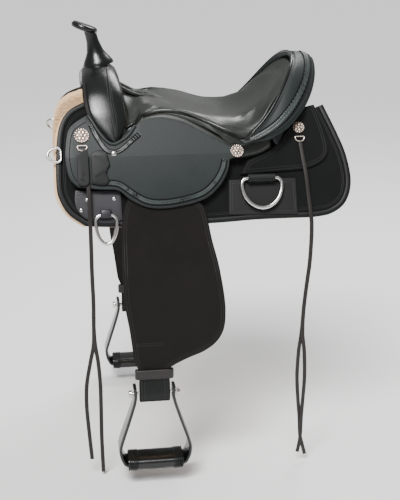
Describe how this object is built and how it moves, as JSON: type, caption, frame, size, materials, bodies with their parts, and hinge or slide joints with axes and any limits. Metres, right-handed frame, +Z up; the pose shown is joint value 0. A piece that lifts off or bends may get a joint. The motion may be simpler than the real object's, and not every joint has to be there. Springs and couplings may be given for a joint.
{
  "type": "western saddle",
  "caption": "Western riding saddle with a horn, padded seat, lined skirts, rigging dees, hanging fenders and turning stirrups.",
  "frame": {"origin": "on the centreline, on top of the horse's back (or rack) under the lowest point of the seat", "axes": "+Z up, -X towards the horn, -Y towards the saddle's left side"},
  "size_m": [0.645, 0.6008, 0.9646],
  "materials": {
    "smooth_leather": "smooth oiled leather, nearly black",
    "seat_leather": "soft padded leather, dark grey-green",
    "tooled_leather": "smooth leather with a stamped border",
    "rear_leather": "black woven synthetic with stitched edge",
    "skirt_fabric": "black woven synthetic",
    "fender_fabric": "black-brown woven synthetic",
    "strap_leather": "dark brown-black leather",
    "lace": "oiled latigo lace",
    "fleece": "cream wool fleece",
    "tree_wood": "sealed wood",
    "steel": "polished stainless steel",
    "stirrup_metal": "black leather-covered stirrup frame",
    "antique_silver": "antique silver with a warm patina"
  },
  "bodies": {
    "saddle": {"horn_cap": "smooth_leather", "horn_wrap": "smooth_leather", "horn_core": "steel", "fork_cover": "smooth_leather", "tree_fork": "tree_wood", "tree_bar_left": "tree_wood", "tree_bar_right": "tree_wood", "tree_cantle": "tree_wood", "ground_seat": "tree_wood", "seat_leather": "seat_leather", "cantle_binding": "tooled_leather", "skirt_left": "skirt_fabric", "skirt_right": "skirt_fabric", "fleece_left": "fleece", "fleece_right": "fleece", "seat_jockey_left": "tooled_leather", "seat_jockey_right": "tooled_leather", "rear_jockey_left": "rear_leather", "rear_jockey_right": "rear_leather", "front_rigging_plate_left": "smooth_leather", "front_rigging_plate_right": "smooth_leather", "rear_rigging_plate_left": "rear_leather", "rear_rigging_plate_right": "rear_leather", "rear_dee_tab_left": "smooth_leather", "rear_dee_tab_right": "smooth_leather", "front_concho_left": "antique_silver", "front_concho_right": "antique_silver", "jockey_concho_left": "antique_silver", "jockey_concho_right": "antique_silver", "rear_concho_left": "antique_silver", "rear_concho_right": "antique_silver", "fork_screw_left": "steel", "fork_screw_right": "steel", "latigo_keeper": "tooled_leather", "front_string_a": "lace", "front_string_b": "lace", "rear_string_a": "lace", "rear_string_b": "lace"},
    "left_hanger": {"fender_hanger_left": "smooth_leather"},
    "left_fender": {"fender_left": "fender_fabric", "keeper_strap_left": "strap_leather"},
    "left_stirrup_leather": {"stirrup_leather_left": "strap_leather"},
    "left_stirrup": {"stirrup_frame_left": "stirrup_metal", "stirrup_tread_left": "strap_leather", "stirrup_bolt_left": "steel"},
    "left_front_ring": {"front_rigging_ring_left": "steel"},
    "left_rear_dee": {"rear_rigging_dee_left": "steel"},
    "left_breast_dee": {"breast_collar_dee_left": "steel"},
    "right_hanger": {"fender_hanger_right": "smooth_leather"},
    "right_fender": {"fender_right": "fender_fabric", "keeper_strap_right": "strap_leather"},
    "right_stirrup_leather": {"stirrup_leather_right": "strap_leather"},
    "right_stirrup": {"stirrup_frame_right": "stirrup_metal", "stirrup_tread_right": "strap_leather", "stirrup_bolt_right": "steel"},
    "right_front_ring": {"front_rigging_ring_right": "steel"},
    "right_rear_dee": {"rear_rigging_dee_right": "steel"},
    "right_breast_dee": {"breast_collar_dee_right": "steel"},
    "rope_strap": {"rope_strap": "tooled_leather"}
  },
  "joints": [
    {"name": "left_fender_swing", "type": "hinge", "parent": "saddle", "child": "left_hanger", "pos_m": [-0.12, -0.17574, 0.006], "axis": [0, -0.9085, 0.4179], "range_deg": [-2, 15]},
    {"name": "left_fender_lift", "type": "hinge", "parent": "left_hanger", "child": "left_fender", "pos_m": [-0.108, -0.23068, -0.108], "axis": [-1, 0, 0], "range_deg": [0, 55]},
    {"name": "left_stirrup_turn", "type": "hinge", "parent": "left_fender", "child": "left_stirrup_leather", "pos_m": [-0.137, -0.27142, -0.4718], "axis": [0, 0, -1], "range_deg": [0, 90]},
    {"name": "left_stirrup_swing", "type": "hinge", "parent": "left_stirrup_leather", "child": "left_stirrup", "pos_m": [-0.138, -0.27142, -0.503], "axis": [-1, 0, 0], "range_deg": [-10, 45]},
    {"name": "left_front_ring_lift", "type": "hinge", "parent": "saddle", "child": "left_front_ring", "pos_m": [-0.229, -0.23152, -0.11251], "axis": [-1, 0, 0], "range_deg": [0, 50]},
    {"name": "left_rear_dee_lift", "type": "hinge", "parent": "saddle", "child": "left_rear_dee", "pos_m": [0.102, -0.20643, -0.05086], "axis": [-1, 0, 0], "range_deg": [0, 70]},
    {"name": "left_breast_dee_swing", "type": "hinge", "parent": "saddle", "child": "left_breast_dee", "pos_m": [-0.316, -0.16967, 0.00328], "axis": [0, 0.5007, 0.8656], "range_deg": [0, 60]},
    {"name": "right_fender_swing", "type": "hinge", "parent": "saddle", "child": "right_hanger", "pos_m": [-0.12, 0.17574, 0.006], "axis": [0, -0.9085, -0.4179], "range_deg": [-2, 15]},
    {"name": "right_fender_lift", "type": "hinge", "parent": "right_hanger", "child": "right_fender", "pos_m": [-0.108, 0.23068, -0.108], "axis": [1, 0, 0], "range_deg": [0, 55]},
    {"name": "right_stirrup_turn", "type": "hinge", "parent": "right_fender", "child": "right_stirrup_leather", "pos_m": [-0.137, 0.27142, -0.4718], "axis": [0, 0, 1], "range_deg": [0, 90]},
    {"name": "right_stirrup_swing", "type": "hinge", "parent": "right_stirrup_leather", "child": "right_stirrup", "pos_m": [-0.138, 0.27142, -0.503], "axis": [1, 0, 0], "range_deg": [-10, 45]},
    {"name": "right_front_ring_lift", "type": "hinge", "parent": "saddle", "child": "right_front_ring", "pos_m": [-0.229, 0.23152, -0.11251], "axis": [1, 0, 0], "range_deg": [0, 50]},
    {"name": "right_rear_dee_lift", "type": "hinge", "parent": "saddle", "child": "right_rear_dee", "pos_m": [0.102, 0.20643, -0.05086], "axis": [1, 0, 0], "range_deg": [0, 70]},
    {"name": "right_breast_dee_swing", "type": "hinge", "parent": "saddle", "child": "right_breast_dee", "pos_m": [-0.316, 0.16967, 0.00328], "axis": [0, 0.5007, -0.8656], "range_deg": [0, 60]},
    {"name": "rope_strap_lift", "type": "hinge", "parent": "saddle", "child": "rope_strap", "pos_m": [-0.272, -0.18909, 0.01928], "axis": [-1, 0, 0], "range_deg": [0, 60]}
  ]
}
